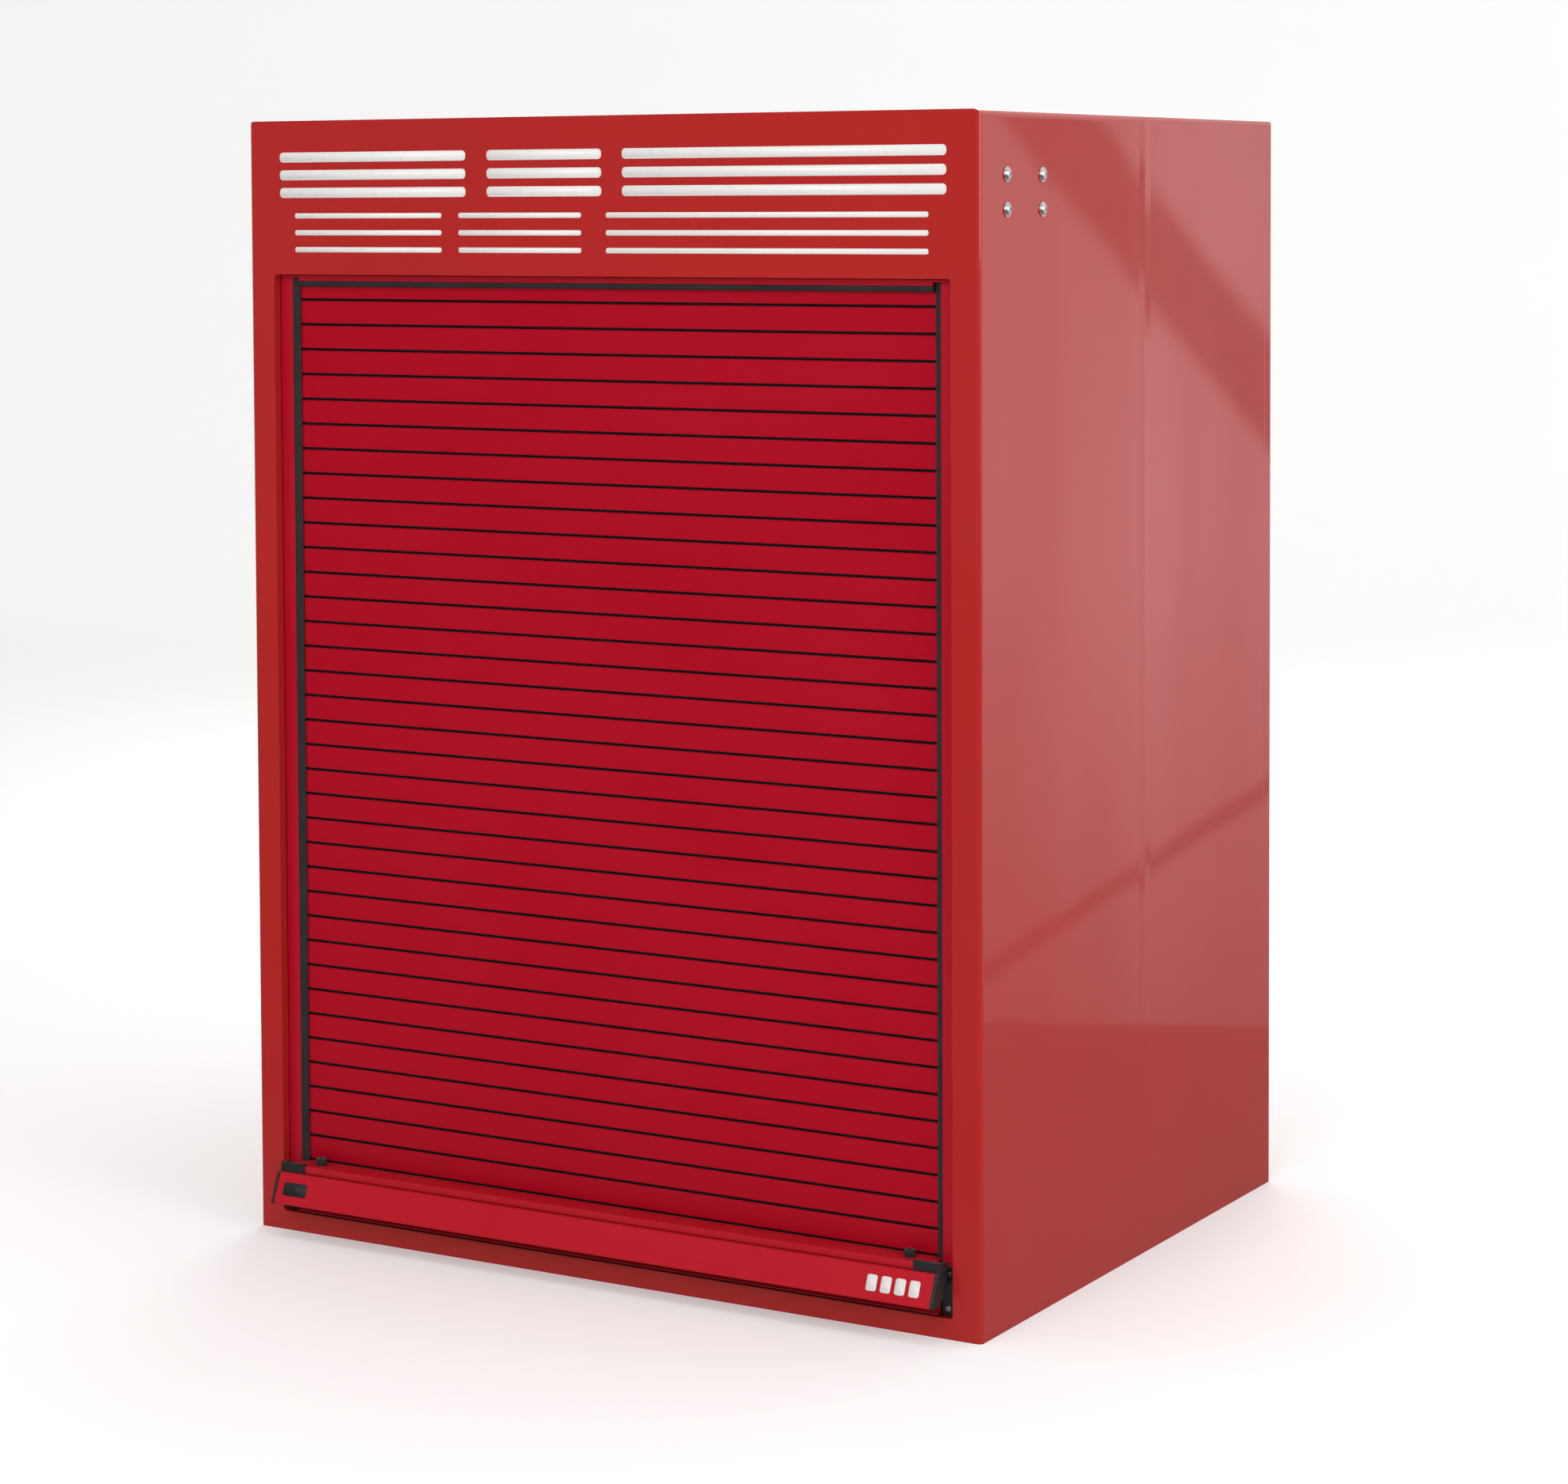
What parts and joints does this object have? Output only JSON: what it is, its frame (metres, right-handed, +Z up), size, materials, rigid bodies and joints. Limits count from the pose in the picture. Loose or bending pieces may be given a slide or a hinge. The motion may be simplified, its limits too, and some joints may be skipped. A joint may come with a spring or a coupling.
{
  "type": "wheeled fire extinguisher cabinet",
  "caption": "Steel roller-shutter cabinet with a lift bar, holding a wheeled foam extinguisher with hose, branch pipe, valve and pressure gauge.",
  "frame": {"origin": "on the floor under the middle of the cabinet, halfway between its side panels and halfway between its front and back faces", "axes": "+X to the right seen from the front, +Y from the front to the back, +Z up"},
  "size_m": [1.04, 0.866, 1.4],
  "materials": {
    "cabinet_paint": "gloss red powder coat",
    "rail_paint": "satin crimson powder coat",
    "slat_paint": "satin crimson powder coat",
    "bar_paint": "satin red powder coat",
    "black_nylon": "moulded",
    "seal_rubber": "matte",
    "webbing": "woven",
    "zinc_steel": "zinc plated",
    "shaft_steel": "turned",
    "drum_alu": "extruded",
    "bronze": "turned",
    "tank_paint": "gloss red paint",
    "dip_plastic": "natural",
    "frame_paint": "black powder coat",
    "grip_rubber": "moulded grip",
    "tyre_rubber": "solid rubber",
    "rim_paint": "silver paint",
    "dial_white": "printed",
    "needle_black": "satin",
    "gauge_lens": "clear",
    "hose_rubber": "matte",
    "branch_plastic": "moulded"
  },
  "bodies": {
    "cabinet": {"front_fascia": "cabinet_paint", "left_side_panel": "cabinet_paint", "right_side_panel": "cabinet_paint", "roof_panel": "cabinet_paint", "back_panel": "cabinet_paint", "floor_pan": "zinc_steel", "side_stiffeners": "zinc_steel", "floor_bearers": "zinc_steel", "guide_rail_left": "rail_paint", "guide_rail_right": "rail_paint", "side_seals": "seal_rubber", "header_profile": "rail_paint", "header_seal": "seal_rubber", "latch_strikers": "black_nylon", "striker_screws": "zinc_steel", "drum_brackets": "zinc_steel", "bracket_bolts": "zinc_steel", "bracket_nuts": "zinc_steel", "drum_shaft": "shaft_steel", "counterbalance_spring": "shaft_steel", "upper_slats": "slat_paint", "upper_gaskets": "seal_rubber", "upper_end_caps": "black_nylon", "curtain_straps": "webbing", "tank": "tank_paint", "dip_tube": "dip_plastic", "trolley_frame": "frame_paint", "tank_straps": "frame_paint", "handle_grips": "grip_rubber", "axle": "zinc_steel", "axle_caps": "zinc_steel", "valve_body": "bronze", "gauge_case": "zinc_steel", "gauge_dial": "dial_white", "gauge_glass": "gauge_lens", "hose": "hose_rubber", "hose_couplings": "bronze", "hose_hanger": "zinc_steel", "branch_pipe": "branch_plastic", "branch_clips": "zinc_steel"},
    "drum": {"drum_tube": "drum_alu", "drum_plugs": "black_nylon", "drum_bushes": "bronze"},
    "shutter": {"lower_slats": "slat_paint", "lower_gaskets": "seal_rubber", "lower_end_caps": "black_nylon", "bottom_rail": "bar_paint", "bottom_seal": "seal_rubber", "bump_stops": "seal_rubber"},
    "lift_bar": {"lift_bar": "bar_paint", "lift_bar_end_caps": "black_nylon", "lift_bar_pins": "zinc_steel"},
    "wheel_left": {"tyre_left": "tyre_rubber", "rim_left": "rim_paint"},
    "wheel_right": {"tyre_right": "tyre_rubber", "rim_right": "rim_paint"},
    "valve_lever": {"valve_lever": "tank_paint"},
    "safety_pin": {"safety_pin": "zinc_steel"},
    "gauge_needle": {"gauge_needle": "needle_black"},
    "branch_lever": {"branch_lever": "tank_paint"}
  },
  "joints": [
    {"name": "shutter_lift", "type": "slide", "parent": "cabinet", "child": "shutter", "axis": [0, 0, 1], "range_m": [0, 1.095], "deforming": ["upper_slats", "upper_gaskets", "upper_end_caps", "curtain_straps"]},
    {"name": "drum_turn", "type": "hinge", "parent": "cabinet", "child": "drum", "pos_m": [0, -0.303, 1.307], "axis": [-1, 0, 0], "range_deg": [0, 1255]},
    {"name": "lift_bar_pull", "type": "hinge", "parent": "shutter", "child": "lift_bar", "pos_m": [0, -0.417, 0.083], "axis": [-1, 0, 0], "range_deg": [0, 28]},
    {"name": "wheel_left_spin", "type": "hinge", "parent": "cabinet", "child": "wheel_left", "pos_m": [-0.222, 0.175, 0.1945], "axis": [1, 0, 0], "continuous": true},
    {"name": "wheel_right_spin", "type": "hinge", "parent": "cabinet", "child": "wheel_right", "pos_m": [0.222, 0.175, 0.1945], "axis": [1, 0, 0], "continuous": true},
    {"name": "valve_lever_turn", "type": "hinge", "parent": "cabinet", "child": "valve_lever", "pos_m": [0, -0.03, 0.957], "axis": [0, 0, -1], "range_deg": [0, 90]},
    {"name": "safety_pin_pull", "type": "slide", "parent": "cabinet", "child": "safety_pin", "axis": [1, 0, 0], "range_m": [0, 0.03]},
    {"name": "gauge_needle_turn", "type": "hinge", "parent": "cabinet", "child": "gauge_needle", "pos_m": [0, -0.074, 0.9241], "axis": [0, -1, 0], "range_deg": [-110, 110]},
    {"name": "branch_lever_turn", "type": "hinge", "parent": "cabinet", "child": "branch_lever", "pos_m": [0.212, -0.05, 0.492], "axis": [0, 1, 0], "range_deg": [0, 90]}
  ],
  "couplings": [
    {"joint": "drum_turn", "follows": "shutter_lift", "rad_per_m": 20}
  ]
}
